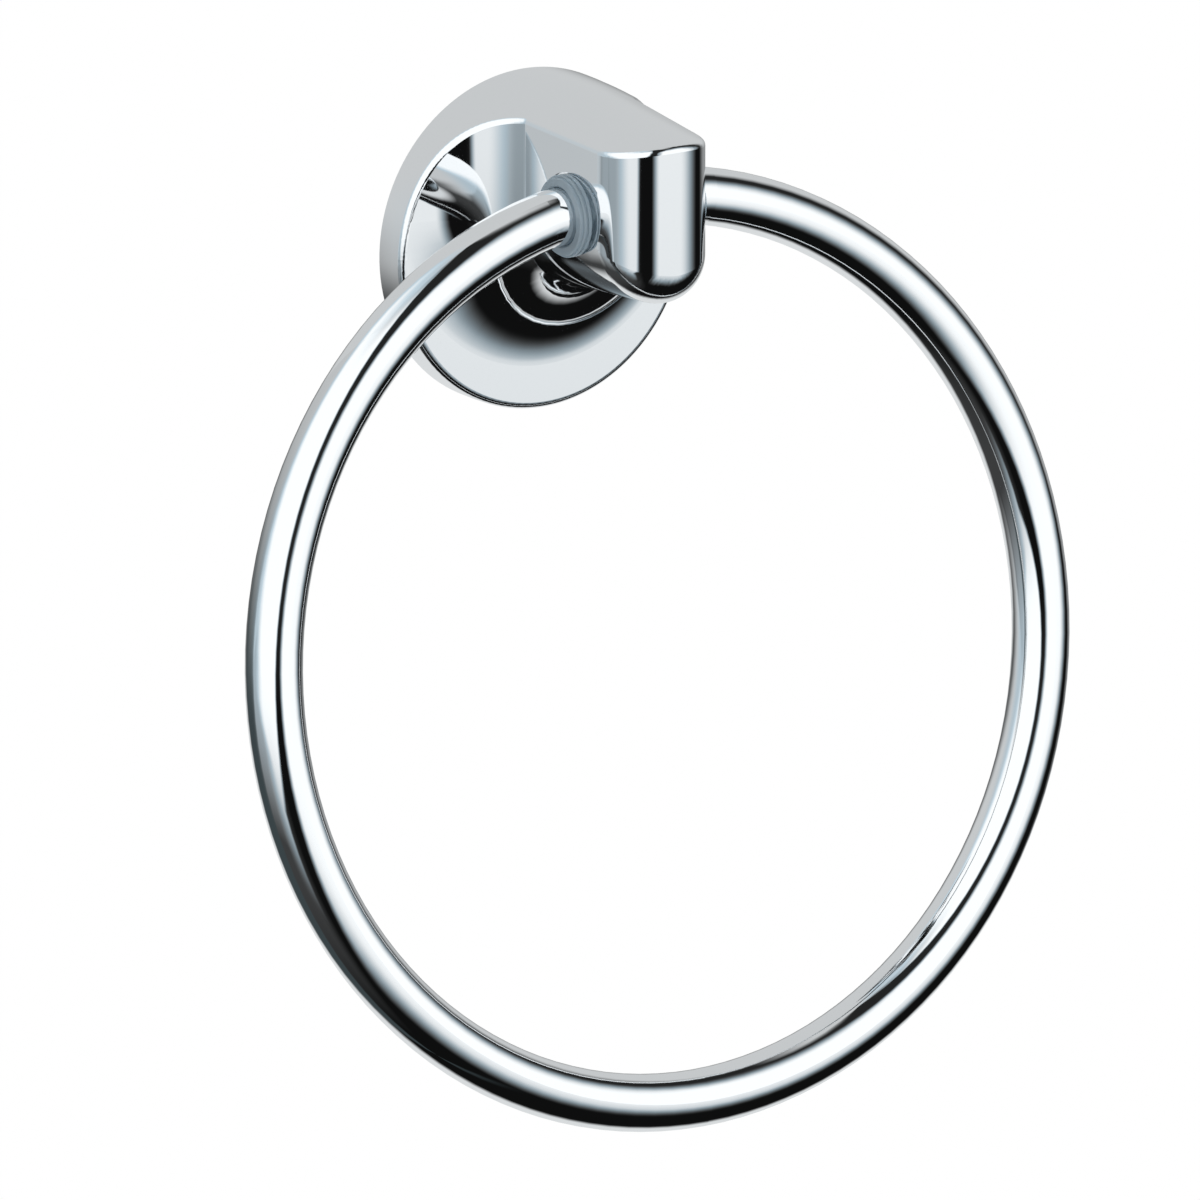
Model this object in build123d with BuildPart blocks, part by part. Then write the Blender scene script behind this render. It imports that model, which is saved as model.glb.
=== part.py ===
import os
from math import acos, asin, cos, radians, sin, tan

from build123d import *

os.makedirs("parts", exist_ok=True)

# The origin is the centre of the post's back on the wall, +Y runs into the wall and +Z is up

# Post: round base on the wall, drawn forward into a rounded nose
base_diameter = 59.0
rim_depth = 6.8
hood_taper = 4.6
hood_land = 0.4
neck_taper = 4.0
flare_radius = 18.5
crease_reach = 18.5
crease_round = 1.5
nose_reach = 38.4
nose_radius = 10.3
nose_round_height = 7.3
front_edge_round = 1.2
nose_edge_round = 6.0

# Hollow back of the post
rim_wall = 3.5
recess_depth = 4.6
core_width = 11.0
core_height = 13.0
core_reach = 20.0
core_centre_height = 12.0
core_round = 2.0

# Ring
ring_diameter = 156.4
tube_diameter = 10.0
tube_wall = 1.0
end_bend_radius = 15.0
swing_angle = 8.7
pivot_reach = 31.2
pivot_height = 11.7
end_gap = 8.0

# Bushes
running_clearance = 0.08
bush_wall = 1.1
bush_depth = 6.0
collar_diameter = 14.4
collar_seat = 10.85
seat_clearance = 0.3
rib_width = 0.55
groove_width = 0.35
groove_depth = 0.3
lip_width = 0.65
lip_step = 0.4
rib_round = 0.22
mouth_chamfer = 0.35

# Bracket on the wall
bracket_clearance = 0.25
bracket_thickness = 4.0
screw_hole_diameter = 4.5
screw_head_diameter = 8.6
screw_spacing = 30.0

# Grub screw in the underside of the rim
grub_diameter = 3.0
grub_length = 5.0
grub_key_size = 1.5
grub_key_depth = 1.8
grub_point_diameter = 1.4
grub_point_length = 0.8
pocket_depth = 1.75
pocket_clearance = 0.3

base_radius = base_diameter / 2
recess_diameter = base_diameter - 2 * rim_wall
tube_radius = tube_diameter / 2
ring_radius = ring_diameter / 2
front_reach = nose_reach + nose_radius
block = base_diameter + front_reach
grub_reach = bracket_thickness / 2 + 0.3
grub_inner = pocket_depth - (recess_diameter / 2 - bracket_clearance)
grub_outer = grub_inner - grub_length
sleeve_bore = tube_radius + running_clearance
sleeve_radius = sleeve_bore + bush_wall
collar_radius = collar_diameter / 2
collar_face = collar_seat + 2 * rib_width + groove_width + lip_width

# Plan of the post's side: base face, hollow flare to a soft crease, flat taper, half-round nose
taper_angle = radians(neck_taper)
nose_tangent_x = nose_radius * cos(taper_angle)
nose_tangent_reach = nose_reach + nose_radius * sin(taper_angle)
crease_x = nose_tangent_x + (nose_tangent_reach - crease_reach) * tan(taper_angle)
flare_angle = acos((rim_depth + flare_radius - crease_reach) / flare_radius)
flare_centre_x = crease_x + flare_radius * sin(flare_angle)
flare_mid_x = flare_centre_x - flare_radius * sin(flare_angle / 2)
flare_mid_reach = rim_depth + flare_radius * (1 - cos(flare_angle / 2))
long_reach = front_reach + 2
long_half_width = crease_x - (long_reach - crease_reach) * tan(taper_angle)
hood_front_radius = base_radius - (long_reach - rim_depth) * tan(radians(hood_taper))
hood_blend_radius = (rim_depth - hood_land) / tan(radians(hood_taper / 2))

# Plan outline standing square to the wall
with BuildPart() as plan_block:
    with BuildSketch(Plane.XY.offset(-block / 2)) as plan:
        with BuildLine():
            Polyline((0, 1), (block, 1), (block, -rim_depth), (flare_centre_x, -rim_depth))
            ThreePointArc(
                (flare_centre_x, -rim_depth),
                (flare_mid_x, -flare_mid_reach),
                (crease_x, -crease_reach),
            )
            Line((crease_x, -crease_reach), (nose_tangent_x, -nose_tangent_reach))
            ThreePointArc(
                (nose_tangent_x, -nose_tangent_reach),
                (nose_radius * cos(radians(45)), -nose_reach - nose_radius * sin(radians(45))),
                (0, -front_reach),
            )
            Line((0, -front_reach), (0, 1))
        make_face()
        fillet(plan.vertices().sort_by_distance((crease_x, -crease_reach, 0))[0], crease_round)
        mirror(about=Plane.YZ)
    extrude(amount=block)

# Rounded underside of the neck with the same flare, open above the nose height
with BuildPart() as under_block:
    with BuildSketch(Plane.XY.offset(nose_round_height)) as under:
        with BuildLine():
            Polyline((0, 1), (block, 1), (block, -rim_depth), (flare_centre_x, -rim_depth))
            ThreePointArc(
                (flare_centre_x, -rim_depth),
                (flare_mid_x, -flare_mid_reach),
                (crease_x, -crease_reach),
            )
            Line((crease_x, -crease_reach), (long_half_width, -long_reach))
            Line((long_half_width, -long_reach), (0, -long_reach))
            Line((0, -long_reach), (0, 1))
        make_face()
        fillet(under.vertices().sort_by_distance((crease_x, -crease_reach, 0))[0], crease_round)
    revolve(axis=Axis((0, 0, nose_round_height), (0, 1, 0)))
    with BuildSketch(Plane.XY.offset(nose_round_height)):
        with Locations((0, -front_reach / 2)):
            Rectangle(2 * block, front_reach + 10)
    extrude(amount=block)

with BuildPart() as post_body:
    # Hood: the round rim carried forward with a slight taper
    with BuildSketch(Plane.XY) as hood:
        with BuildLine():
            Polyline(
                (0, 0),
                (base_radius, 0),
                (base_radius, -rim_depth),
                (hood_front_radius, -long_reach),
                (0, -long_reach),
                close=True,
            )
        make_face()
        fillet(hood.vertices().sort_by_distance((base_radius, -rim_depth, 0))[0], hood_blend_radius)
    revolve(axis=Axis.Y)
    add(plan_block.part, mode=Mode.INTERSECT)
    add(under_block.part, mode=Mode.INTERSECT)
    # Rounded edge under the nose
    nose_edges = (
        post_body.edges()
        .filter_by(lambda e: (e @ 0.5).Y < -front_reach + 0.5)
        .filter_by(lambda e: (e @ 0.5).Z < nose_round_height)
    )
    fillet(nose_edges, nose_edge_round)
    # Rounded edge all along the front of the rim and hood
    front_edges = (
        post_body.edges()
        .filter_by(lambda e: (e @ 0.5).Y < -rim_depth + 0.3)
        .filter_by(lambda e: ((e @ 0.5).X ** 2 + (e @ 0.5).Z ** 2) ** 0.5 > 25.0)
        .filter_by(lambda e: abs((e @ 0).Y - (e @ 0.5).Y) > 1e-4 or (e @ 0.5).Y > -rim_depth - 0.01)
    )
    fillet(front_edges, front_edge_round)
    # Recess for the bracket, and the core behind the pivot
    with BuildSketch(Plane.XZ):
        Circle(recess_diameter / 2)
    extrude(amount=recess_depth, mode=Mode.SUBTRACT)
    with BuildSketch(Plane.XZ):
        with Locations((0, core_centre_height)):
            RectangleRounded(core_width, core_height, core_round)
    extrude(amount=core_reach, mode=Mode.SUBTRACT)
    # Bore for the bushes, with a flat seat on each side of the neck
    with BuildSketch(Plane.YZ.offset(-block / 2)):
        with Locations((-pivot_reach, pivot_height)):
            Circle(sleeve_radius)
    extrude(amount=block, mode=Mode.SUBTRACT)
    with BuildSketch(Plane.YZ.offset(collar_seat)):
        with Locations((-pivot_reach, pivot_height)):
            Circle(collar_radius + seat_clearance)
    extrude(amount=5, mode=Mode.SUBTRACT)
    with BuildSketch(Plane.YZ.offset(-collar_seat)):
        with Locations((-pivot_reach, pivot_height)):
            Circle(collar_radius + seat_clearance)
    extrude(amount=-5, mode=Mode.SUBTRACT)
    # Hole for the grub screw
    with BuildSketch(Plane.XY.offset(-base_radius - 1)):
        with Locations((0, -grub_reach)):
            Circle(grub_diameter / 2)
    extrude(amount=base_radius + 1 - recess_diameter / 2 + 1, mode=Mode.SUBTRACT)
post_body.part.label = "post_body"
export_step(post_body.part, "parts/post_body.step")

# Ring: bent tube with straight ends that turn in the bushes
swing = radians(swing_angle)
ring_plane = Plane(
    origin=(0, -pivot_reach, pivot_height),
    x_dir=(1, 0, 0),
    z_dir=(0, -cos(swing), sin(swing)),
)
straight_end = collar_face + 0.2
bend_angle = asin(straight_end / (ring_radius - end_bend_radius))
ring_centre_drop = end_bend_radius * (1 - cos(bend_angle)) + ring_radius * cos(bend_angle)
bend_centre = ring_plane.from_local_coords((straight_end, -end_bend_radius, 0))
ring_centre = ring_plane.from_local_coords((0, -ring_centre_drop, 0))
bend_end = ring_plane.from_local_coords(
    (
        ring_radius * sin(bend_angle),
        ring_radius * cos(bend_angle) - ring_centre_drop,
        0,
    )
)
bend_direction = ring_plane.x_dir * cos(bend_angle) - ring_plane.y_dir * sin(bend_angle)
end_plane = Plane(
    origin=ring_plane.from_local_coords((end_gap / 2, 0, 0)),
    x_dir=ring_plane.z_dir,
    z_dir=(1, 0, 0),
)
bend_plane = Plane(
    origin=ring_plane.from_local_coords((straight_end, 0, 0)),
    x_dir=ring_plane.z_dir,
    z_dir=(1, 0, 0),
)
hoop_plane = Plane(origin=bend_end, x_dir=ring_plane.z_dir, z_dir=bend_direction)
turn_axis = -ring_plane.z_dir
with BuildPart() as ring:
    with BuildSketch(end_plane):
        Circle(tube_radius)
        Circle(tube_radius - tube_wall, mode=Mode.SUBTRACT)
    extrude(amount=straight_end - end_gap / 2)
    with BuildSketch(bend_plane):
        Circle(tube_radius)
        Circle(tube_radius - tube_wall, mode=Mode.SUBTRACT)
    revolve(axis=Axis(bend_centre, turn_axis), revolution_arc=bend_angle * 180 / radians(180))
    with BuildSketch(hoop_plane):
        Circle(tube_radius)
        Circle(tube_radius - tube_wall, mode=Mode.SUBTRACT)
    revolve(
        axis=Axis(ring_centre, turn_axis),
        revolution_arc=180 - bend_angle * 180 / radians(180),
    )
    mirror(about=Plane.YZ)
ring.part.label = "ring"
export_step(ring.part, "parts/ring.step")

# Bush: flanged sleeve with a ribbed collar, turned about the pivot
pivot_axis = Axis((0, -pivot_reach, pivot_height), (1, 0, 0))
pivot_plane = Plane(origin=(0, -pivot_reach, pivot_height), x_dir=(1, 0, 0), z_dir=(0, -1, 0))
first_rib = collar_seat + rib_width
second_rib = first_rib + groove_width
lip_start = second_rib + rib_width
with BuildPart() as right_bush:
    with BuildSketch(pivot_plane):
        with BuildLine():
            Polyline(
                (collar_seat - bush_depth, sleeve_bore),
                (collar_face - mouth_chamfer, sleeve_bore),
                (collar_face, sleeve_bore + mouth_chamfer),
                (collar_face, collar_radius - lip_step),
                (lip_start, collar_radius - lip_step),
                (lip_start, collar_radius),
                (second_rib, collar_radius),
                (second_rib, collar_radius - groove_depth),
                (first_rib, collar_radius - groove_depth),
                (first_rib, collar_radius),
                (collar_seat, collar_radius),
                (collar_seat, sleeve_radius),
                (collar_seat - bush_depth, sleeve_radius),
                close=True,
            )
        make_face()
    revolve(axis=pivot_axis)
    rib_edges = (
        right_bush.edges()
        .filter_by(GeomType.CIRCLE)
        .filter_by(lambda e: e.radius > collar_radius - 0.01)
        .filter_by(lambda e: (e @ 0).X > collar_seat + 0.01)
    )
    fillet(rib_edges, rib_round)
    lip_edge = (
        right_bush.edges()
        .filter_by(GeomType.CIRCLE)
        .filter_by(lambda e: (e @ 0).X > collar_face - 0.01)
        .filter_by(lambda e: e.radius > collar_radius - lip_step - 0.01)
    )
    fillet(lip_edge, rib_round)
right_bush.part.label = "right_bush"
export_step(right_bush.part, "parts/right_bush.step")

with BuildPart() as left_bush:
    add(right_bush.part.mirror(Plane.YZ))
left_bush.part.label = "left_bush"
export_step(left_bush.part, "parts/left_bush.step")

# Bracket: round plate screwed to the wall, held in the post by the grub screw
head_depth = (screw_head_diameter - screw_hole_diameter) / 2
with BuildPart() as wall_bracket:
    with BuildSketch(Plane.XZ):
        Circle(recess_diameter / 2 - bracket_clearance)
    extrude(amount=bracket_thickness)
    with BuildSketch(Plane.XZ):
        with Locations((-screw_spacing / 2, 0), (screw_spacing / 2, 0)):
            Circle(screw_hole_diameter / 2)
    extrude(amount=bracket_thickness, mode=Mode.SUBTRACT)
    head_edges = (
        wall_bracket.edges()
        .filter_by(GeomType.CIRCLE)
        .filter_by(lambda e: abs(e.radius - screw_hole_diameter / 2) < 0.01)
        .filter_by(lambda e: (e @ 0).Y < -bracket_thickness + 0.01)
    )
    chamfer(head_edges, head_depth)
    with BuildSketch(Plane.XY.offset(grub_inner)):
        with Locations((0, -grub_reach)):
            Circle(grub_diameter / 2 + pocket_clearance)
    extrude(amount=-10, mode=Mode.SUBTRACT)
wall_bracket.part.label = "wall_bracket"
export_step(wall_bracket.part, "parts/wall_bracket.step")

# Grub screw: socket at the outer end, short point at the inner end
with BuildPart() as grub_screw:
    with BuildSketch(Plane.XY.offset(grub_outer)):
        with Locations((0, -grub_reach)):
            Circle(grub_diameter / 2)
    extrude(amount=grub_length)
    point_edge = grub_screw.edges().filter_by(GeomType.CIRCLE).sort_by(Axis.Z)[-1]
    chamfer(
        point_edge,
        length=grub_point_length,
        length2=(grub_diameter - grub_point_diameter) / 2,
    )
    with BuildSketch(Plane.XY.offset(grub_outer)):
        with Locations((0, -grub_reach)):
            RegularPolygon(grub_key_size / 2, 6, major_radius=False)
    extrude(amount=grub_key_depth, mode=Mode.SUBTRACT)
grub_screw.part.label = "grub_screw"
export_step(grub_screw.part, "parts/grub_screw.step")
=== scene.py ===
import math

import bmesh
import bpy
from mathutils import Matrix, Vector

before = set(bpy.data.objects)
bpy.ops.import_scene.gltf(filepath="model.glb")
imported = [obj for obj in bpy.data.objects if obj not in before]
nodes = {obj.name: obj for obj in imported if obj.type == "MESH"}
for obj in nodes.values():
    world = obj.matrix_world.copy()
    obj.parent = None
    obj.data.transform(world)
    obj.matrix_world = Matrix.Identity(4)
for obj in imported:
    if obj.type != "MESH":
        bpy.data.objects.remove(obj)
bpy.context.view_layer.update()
scene = bpy.context.scene

# Finishes of the part
chrome_tint = (0.93, 0.94, 0.95)
post_roughness = 0.03
ring_roughness = 0.04
plastic_dark = (0.34, 0.45, 0.53)
plastic_light = (0.48, 0.58, 0.65)
plastic_roughness = (0.16, 0.30)
plastic_ior = 1.49
plastic_clearness = 0.45
bracket_tint = (0.56, 0.57, 0.58)
bracket_roughness = 0.42
screw_tint = (0.35, 0.36, 0.37)
screw_roughness = 0.35
grain_strength = 0.25
grain_depth = 0.0002

# Camera: the photograph's angle, its pixels in a metre, and the pixel where the object's origin lies
camera_turn = -33.0
camera_rise = 15.0
pixels_per_metre = 5820.0
origin_px = (523.4, 233.7)
photo_size = 1200.0
lens = 1500.0
sensor = 36.0
clip_start = 0.1
clip_end = 300.0

# Studio
object_middle = Vector((0.0, -0.035, -0.055))
floor_size = 120.0
floor_height = -1.75
white = (1.0, 1.0, 1.0)

# Tent: how bright each part of it is
tent_radius = 1.6
tent_detail = 5
panel_level = 1.1
room_level = 0.62
side_level = 0.5
backdrop_level = 0.75
low_level = 0.05
front_level = 0.018
dark_level = 0.005
rim_shade_level = 0.85
far_shade_level = 0.7
room_tint = (0.965, 0.99, 1.0)
edge_tint = (0.76, 0.92, 1.02)
edge_gain = 9.48

# Flag: a dark sheet that starts behind the ring's left side
flag_tint = (0.045, 0.06, 0.065)
flag_size = 0.5
flag_turn = -115.0
flag_place = (0.0, -0.0705, -0.0638)
ring_tilt = 8.7


class NodeTree:
    """A new material, with short ways to add nodes to it."""

    def __init__(self, name):
        self.material = bpy.data.materials.new(name)
        self.material.use_nodes = True
        self.nodes = self.material.node_tree.nodes
        self.nodes.clear()

    def add(self, kind, **settings):
        node = self.nodes.new(kind)
        for key, value in settings.items():
            setattr(node, key, value)
        return node

    def link(self, output, socket):
        self.material.node_tree.links.new(output, socket)

    def math(self, operation, *values):
        """A math node, whose values are numbers or other nodes' outputs."""
        node = self.add("ShaderNodeMath", operation=operation)
        for socket, value in zip(node.inputs, values):
            if isinstance(value, (int, float)):
                socket.default_value = value
            else:
                self.link(value, socket)
        return node.outputs[0]

    def chain(self, operation, *values):
        result = values[0]
        for value in values[1:]:
            result = self.math(operation, result, value)
        return result

    def product(self, *values):
        return self.chain("MULTIPLY", *values)

    def largest(self, *values):
        return self.chain("MAXIMUM", *values)

    def rest_of(self, share):
        return self.math("SUBTRACT", 1.0, share)

    def degrees(self, angle):
        return self.product(angle, math.degrees(1))

    def map_range(self, value, source, target, interpolation="LINEAR"):
        node = self.add("ShaderNodeMapRange", interpolation_type=interpolation)
        sockets = ("From Min", "From Max", "To Min", "To Max")
        for socket, number in zip(sockets, (*source, *target)):
            node.inputs[socket].default_value = number
        self.link(value, node.inputs["Value"])
        return node.outputs["Result"]

    def ramp(self, value, low, high):
        """Rises softly from 0 at low to 1 at high. Where low is the larger number, it falls from 1 to 0 instead."""
        if low < high:
            return self.map_range(value, (low, high), (0.0, 1.0), "SMOOTHSTEP")
        return self.map_range(value, (high, low), (1.0, 0.0), "SMOOTHSTEP")

    def noise(self, scale, detail):
        coords = self.add("ShaderNodeTexCoord")
        node = self.add("ShaderNodeTexNoise")
        node.inputs["Scale"].default_value = scale
        node.inputs["Detail"].default_value = detail
        self.link(coords.outputs["Object"], node.inputs["Vector"])
        return node.outputs["Fac"]

    def mix_colours(self, factor, first, second):
        node = self.add("ShaderNodeMix", data_type="RGBA")
        self.link(factor, node.inputs[0])
        node.inputs[6].default_value = (*first, 1)
        node.inputs[7].default_value = (*second, 1)
        return node.outputs[2]

    def split(self, vector):
        node = self.add("ShaderNodeSeparateXYZ")
        self.link(vector, node.inputs[0])
        return node.outputs

    def finish(self, shader):
        """Makes the shader the material's surface, and gives the material."""
        out = self.add("ShaderNodeOutputMaterial")
        self.link(shader.outputs[0], out.inputs["Surface"])
        return self.material


# Materials of the part
def chrome(name, roughness):
    """Polished plating: mirror-bright, with faint wipe marks in its gloss."""
    tree = NodeTree(name)
    shader = tree.add("ShaderNodeBsdfPrincipled")
    shader.inputs["Base Color"].default_value = (*chrome_tint, 1)
    shader.inputs["Metallic"].default_value = 1.0
    smudge = tree.noise(scale=140.0, detail=4.0)
    gloss = tree.map_range(smudge, (0.3, 0.7), (roughness * 0.7, roughness * 1.4))
    tree.link(gloss, shader.inputs["Roughness"])
    return tree.finish(shader)


def clear_plastic(name):
    """Milky clear plastic, a little cloudy inside and not quite even in gloss."""
    tree = NodeTree(name)
    shader = tree.add("ShaderNodeBsdfPrincipled")
    cloud = tree.noise(scale=180.0, detail=2.0)
    milk = tree.mix_colours(cloud, plastic_dark, plastic_light)
    tree.link(milk, shader.inputs["Base Color"])
    gloss = tree.map_range(cloud, (0.0, 1.0), plastic_roughness)
    tree.link(gloss, shader.inputs["Roughness"])
    shader.inputs["IOR"].default_value = plastic_ior
    shader.inputs["Transmission Weight"].default_value = plastic_clearness
    return tree.finish(shader)


def cast_metal(name, tint, roughness):
    """Plain metal with a fine cast grain."""
    tree = NodeTree(name)
    shader = tree.add("ShaderNodeBsdfPrincipled")
    shader.inputs["Base Color"].default_value = (*tint, 1)
    shader.inputs["Metallic"].default_value = 1.0
    shader.inputs["Roughness"].default_value = roughness
    bump = tree.add("ShaderNodeBump")
    bump.inputs["Strength"].default_value = grain_strength
    bump.inputs["Distance"].default_value = grain_depth
    tree.link(tree.noise(scale=900.0, detail=3.0), bump.inputs["Height"])
    tree.link(bump.outputs["Normal"], shader.inputs["Normal"])
    return tree.finish(shader)


bush_plastic = clear_plastic("bush_plastic")
finishes = {
    "post_body": chrome("post_chrome", post_roughness),
    "ring": chrome("ring_chrome", ring_roughness),
    "left_bush": bush_plastic,
    "right_bush": bush_plastic,
    "wall_bracket": cast_metal("bracket_metal", bracket_tint, bracket_roughness),
    "grub_screw": cast_metal("screw_steel", screw_tint, screw_roughness),
}
for node_name, finish in finishes.items():
    materials = nodes[node_name].data.materials
    materials.clear()
    materials.append(finish)


# Helpers for the studio
def direction(turn, rise):
    """Unit vector by degrees: turn 0 is the front, plus is the object's right, and rise is up."""
    a, e = math.radians(turn), math.radians(rise)
    return Vector((math.sin(a) * math.cos(e), -math.cos(a) * math.cos(e), math.sin(e)))


def placed(x_axis, y_axis, z_axis, location):
    matrix = Matrix((x_axis, y_axis, z_axis)).transposed().to_4x4()
    matrix.translation = location
    return matrix


def stage_object(name, mesh, material):
    mesh.materials.append(material)
    obj = bpy.data.objects.new(name, mesh)
    scene.collection.objects.link(obj)
    return obj


def square(name, size):
    mesh = bpy.data.meshes.new(name)
    h = size / 2
    mesh.from_pydata([(-h, -h, 0), (h, -h, 0), (h, h, 0), (-h, h, 0)], [], [(0, 1, 2, 3)])
    return mesh


def sphere(name, radius, detail):
    mesh = bpy.data.meshes.new(name)
    shell = bmesh.new()
    bmesh.ops.create_icosphere(shell, subdivisions=detail, radius=radius)
    shell.to_mesh(mesh)
    shell.free()
    return mesh


def only_reflected(obj):
    obj.visible_camera = False
    obj.visible_diffuse = False
    obj.visible_shadow = False
    obj.visible_transmission = False


# White surroundings and a pale floor
def floor_white():
    tree = NodeTree("floor_white")
    shader = tree.add("ShaderNodeBsdfDiffuse")
    shader.inputs["Color"].default_value = (*white, 1)
    return tree.finish(shader)


scene.view_settings.view_transform = "Standard"
world = bpy.data.worlds.new("studio")
scene.world = world
world.use_nodes = True
background = world.node_tree.nodes["Background"]
background.inputs["Color"].default_value = (*white, 1)
background.inputs["Strength"].default_value = 1.0

floor = stage_object("floor", square("floor", floor_size), floor_white())
floor.location = (0, 0, floor_height)


# Tent that only the metal reflects. Its light goes by the turn and rise from its middle, in degrees.
def tent_angles(tree):
    coords = tree.add("ShaderNodeTexCoord")
    unit = tree.add("ShaderNodeVectorMath", operation="NORMALIZE")
    tree.link(coords.outputs["Object"], unit.inputs[0])
    parts = tree.split(unit.outputs["Vector"])
    forward = tree.product(parts["Y"], -1.0)
    turn = tree.degrees(tree.math("ARCTAN2", parts["X"], forward))
    rise = tree.degrees(tree.math("ARCSINE", parts["Z"]))
    return unit.outputs["Vector"], turn, rise


def left_panel(tree, turn, rise):
    """White panel whose inner edge curves away below and whose outer edge leans back above."""
    curve_start, curve_depth, curve = 15.0, -34.0, 0.026
    outer_lean, outer_step = 0.85, 20.0
    below = tree.math("MINIMUM", tree.math("SUBTRACT", rise, curve_start), 0.0)
    below = tree.math("MAXIMUM", below, curve_depth)
    inner = tree.math("ADD", turn, tree.product(below, below, curve))
    above = tree.math("MAXIMUM", rise, 0.0)
    outer = tree.math("ADD", turn, tree.product(above, outer_lean))
    outer = tree.math("ADD", outer, tree.product(tree.ramp(rise, -14, -4), outer_step))
    return tree.product(
        tree.ramp(outer, -92, -58),
        tree.ramp(inner, -23, -31),
        tree.ramp(rise, -43, 2),
        tree.ramp(rise, 88, 58),
    )


def right_panel(tree, turn, rise):
    """White panel whose inner edge curves off above. Both its edges lean below, and the outer one leans in above."""
    curve_start, curve = 25.0, 0.022
    inner_lean, outer_lean_above, outer_lean_below = 0.45, 0.35, 1.3
    beyond = tree.math("MAXIMUM", tree.math("SUBTRACT", rise, curve_start), 0.0)
    above = tree.math("MAXIMUM", rise, 0.0)
    below = tree.math("MINIMUM", rise, 0.0)
    inner = tree.math("SUBTRACT", turn, tree.product(beyond, beyond, curve))
    inner = tree.math("SUBTRACT", inner, tree.product(below, inner_lean))
    outer = tree.math("ADD", turn, tree.product(above, outer_lean_above))
    outer = tree.math("SUBTRACT", outer, tree.product(below, outer_lean_below))
    return tree.product(
        tree.ramp(inner, -15, 1),
        tree.ramp(outer, 98, 52),
        tree.ramp(rise, -48, 2),
        tree.ramp(rise, 66, 36),
    )


def grey_room(tree, turn, rise):
    """Grey walls behind the object and a grey ceiling, darker towards the floor."""
    drop_start, drop_depth, drop_lean = 20.0, 35.0, 1.4
    drop = tree.math("MAXIMUM", tree.math("SUBTRACT", drop_start, rise), 0.0)
    drop = tree.math("MINIMUM", drop, drop_depth)
    left_edge = tree.math("ADD", turn, tree.product(drop, drop_lean))
    low_wall = tree.ramp(rise, 10, -12)
    rim_shade = tree.product(tree.ramp(turn, -130, -172), low_wall, rim_shade_level)
    far_shade = tree.product(tree.ramp(turn, 135, 165), low_wall, far_shade_level)
    left_wall = tree.product(
        tree.ramp(left_edge, -72, -91),
        tree.ramp(rise, -36, -10),
        tree.rest_of(rim_shade),
    )
    right_wall = tree.product(
        tree.ramp(turn, 92, 118),
        tree.ramp(rise, -36, 14),
        tree.rest_of(far_shade),
    )
    around = tree.math("ABSOLUTE", turn)
    ceiling = tree.product(tree.ramp(around, 12, 75), tree.ramp(rise, 64, 80))
    return tree.product(tree.largest(left_wall, right_wall, ceiling), room_level)


def side_light(tree, turn, rise):
    """Share of the bluish light between the left panel and the grey room."""
    return tree.product(
        tree.ramp(turn, -55, -85),
        tree.ramp(turn, -150, -118),
        tree.ramp(rise, -40, 0),
    )


def backdrop(tree, unit, rise):
    """White round patch low behind the object."""
    middle = direction(156.0, -38.0)
    near = tree.add("ShaderNodeVectorMath", operation="DOT_PRODUCT")
    near.inputs[1].default_value = middle
    tree.link(unit, near.inputs[0])
    angle = tree.degrees(tree.math("ARCCOSINE", near.outputs["Value"]))
    return tree.product(tree.ramp(angle, 44, 26), tree.ramp(rise, -8, -18), backdrop_level)


def tent_light():
    tree = NodeTree("tent_light")
    unit, turn, rise = tent_angles(tree)
    panels = tree.largest(left_panel(tree, turn, rise), right_panel(tree, turn, rise))
    between = tree.rest_of(panels)
    side = side_light(tree, turn, rise)
    room = tree.largest(
        grey_room(tree, turn, rise),
        tree.product(side, side_level),
        backdrop(tree, unit, rise),
        tree.product(tree.ramp(turn, -30, -75), tree.ramp(rise, -80, -35), low_level),
        tree.product(tree.ramp(rise, -8, 16), front_level),
        dark_level,
    )
    light = tree.math("ADD", tree.product(panels, panel_level), tree.product(room, between))
    # The panels' soft edges and the side light are bluish; the gain brings the edges' peak to 1
    edges = tree.product(panels, between, between, between, edge_gain)
    bluish = tree.largest(edges, tree.product(side, between))
    glow = tree.add("ShaderNodeEmission")
    tree.link(tree.mix_colours(bluish, room_tint, edge_tint), glow.inputs["Color"])
    tree.link(light, glow.inputs["Strength"])
    return tree.finish(glow)


tent = stage_object("tent", sphere("tent", tent_radius, tent_detail), tent_light())
tent.location = object_middle
only_reflected(tent)


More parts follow.
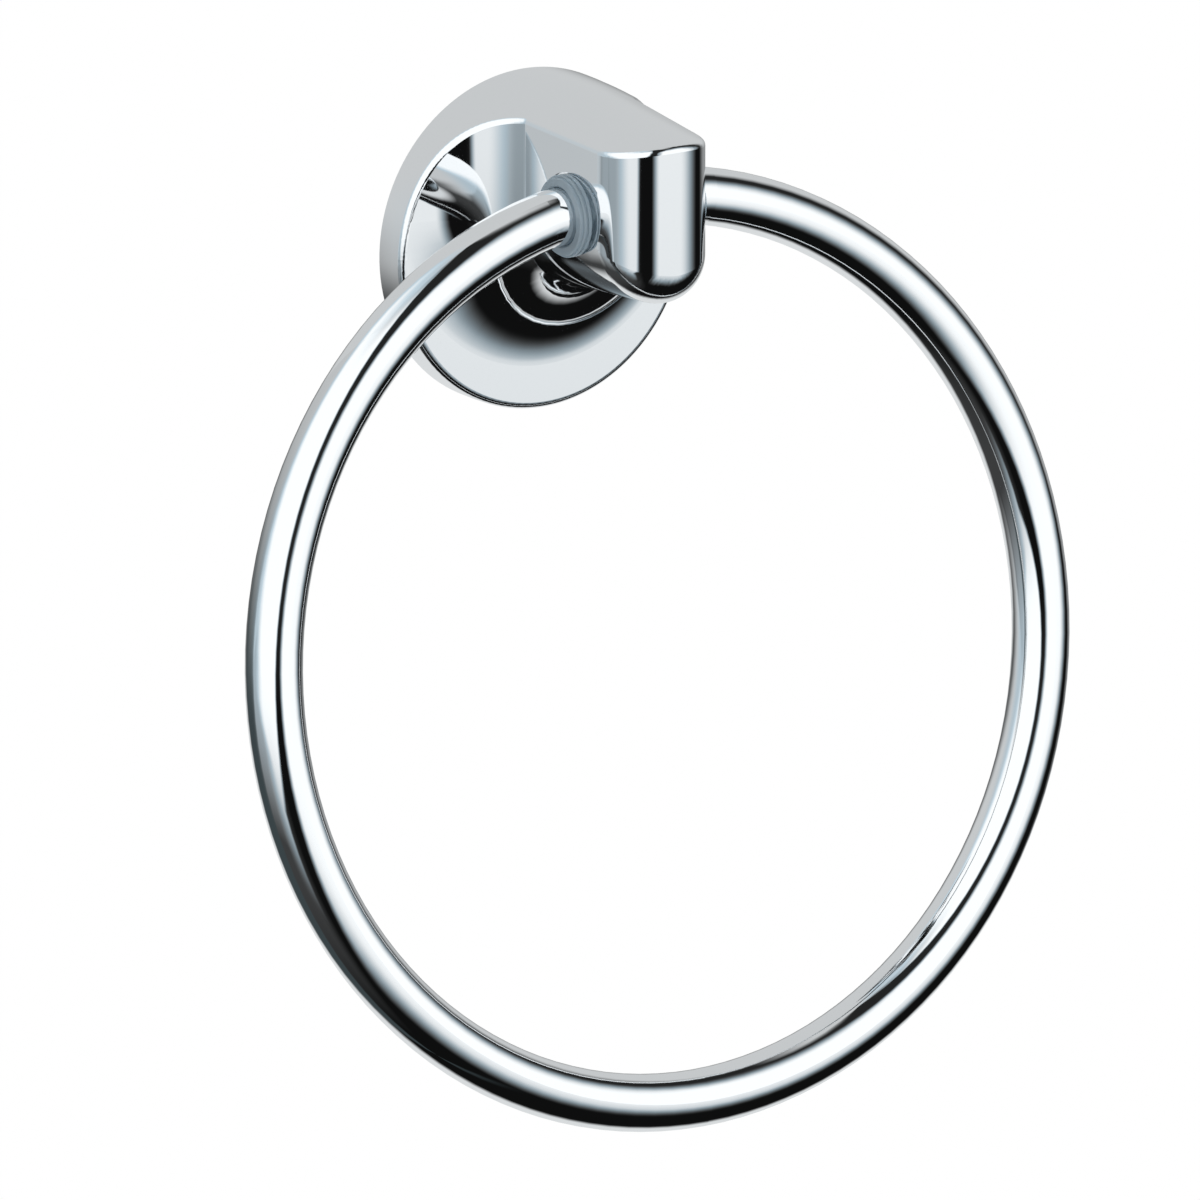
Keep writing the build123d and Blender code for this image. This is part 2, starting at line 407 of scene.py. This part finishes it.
# Flag that shades the ring's outer left edge, and fades outwards and upwards
def flag_dark(run_to_across):
    tree = NodeTree("flag_dark")
    coords = tree.add("ShaderNodeTexCoord")
    parts = tree.split(coords.outputs["Object"])
    run, height = parts["X"], parts["Y"]
    across = tree.product(run, run_to_across)
    squares = tree.math("ADD", tree.product(across, across), tree.product(height, height))
    radius = tree.math("SQRT", squares)
    cover = tree.product(
        tree.ramp(radius, 0.0825, 0.086),
        tree.ramp(radius, 0.20, 0.095),
        tree.ramp(run, 0.03, 0.05),
        tree.ramp(height, 0.075, -0.01),
        tree.ramp(height, -0.085, -0.065),
    )
    clear = tree.add("ShaderNodeBsdfTransparent")
    dark = tree.add("ShaderNodeEmission")
    dark.inputs["Color"].default_value = (*flag_tint, 1)
    blend = tree.add("ShaderNodeMixShader")
    tree.link(cover, blend.inputs[0])
    tree.link(clear.outputs[0], blend.inputs[1])
    tree.link(dark.outputs[0], blend.inputs[2])
    return tree.finish(blend)


tilt = math.radians(ring_tilt)
ring_up = Vector((0.0, math.sin(tilt), math.cos(tilt)))
flag_run = direction(flag_turn, 0.0)
flag_normal = flag_run.cross(ring_up).normalized()
flag_up = flag_normal.cross(flag_run)
flag = stage_object("flag", square("flag", flag_size), flag_dark(-flag_run.x))
flag.matrix_world = placed(flag_run, flag_up, flag_normal, flag_place)
only_reflected(flag)

# Camera far away, so that lines stay nearly parallel
back = direction(camera_turn, camera_rise)
turn_angle = math.radians(camera_turn)
right = Vector((math.cos(turn_angle), math.sin(turn_angle), 0.0))
up = back.cross(right)
middle_px = photo_size / 2
aim = right * ((middle_px - origin_px[0]) / pixels_per_metre)
aim -= up * ((middle_px - origin_px[1]) / pixels_per_metre)
aim += back * (object_middle - aim).dot(back)
distance = lens / sensor * photo_size / pixels_per_metre

cam_data = bpy.data.cameras.new("camera")
cam_data.lens = lens
cam_data.sensor_width = sensor
cam_data.clip_start = clip_start
cam_data.clip_end = clip_end
cam = bpy.data.objects.new("camera", cam_data)
scene.collection.objects.link(cam)
cam.matrix_world = placed(right, up, back, aim + back * distance)
scene.camera = cam
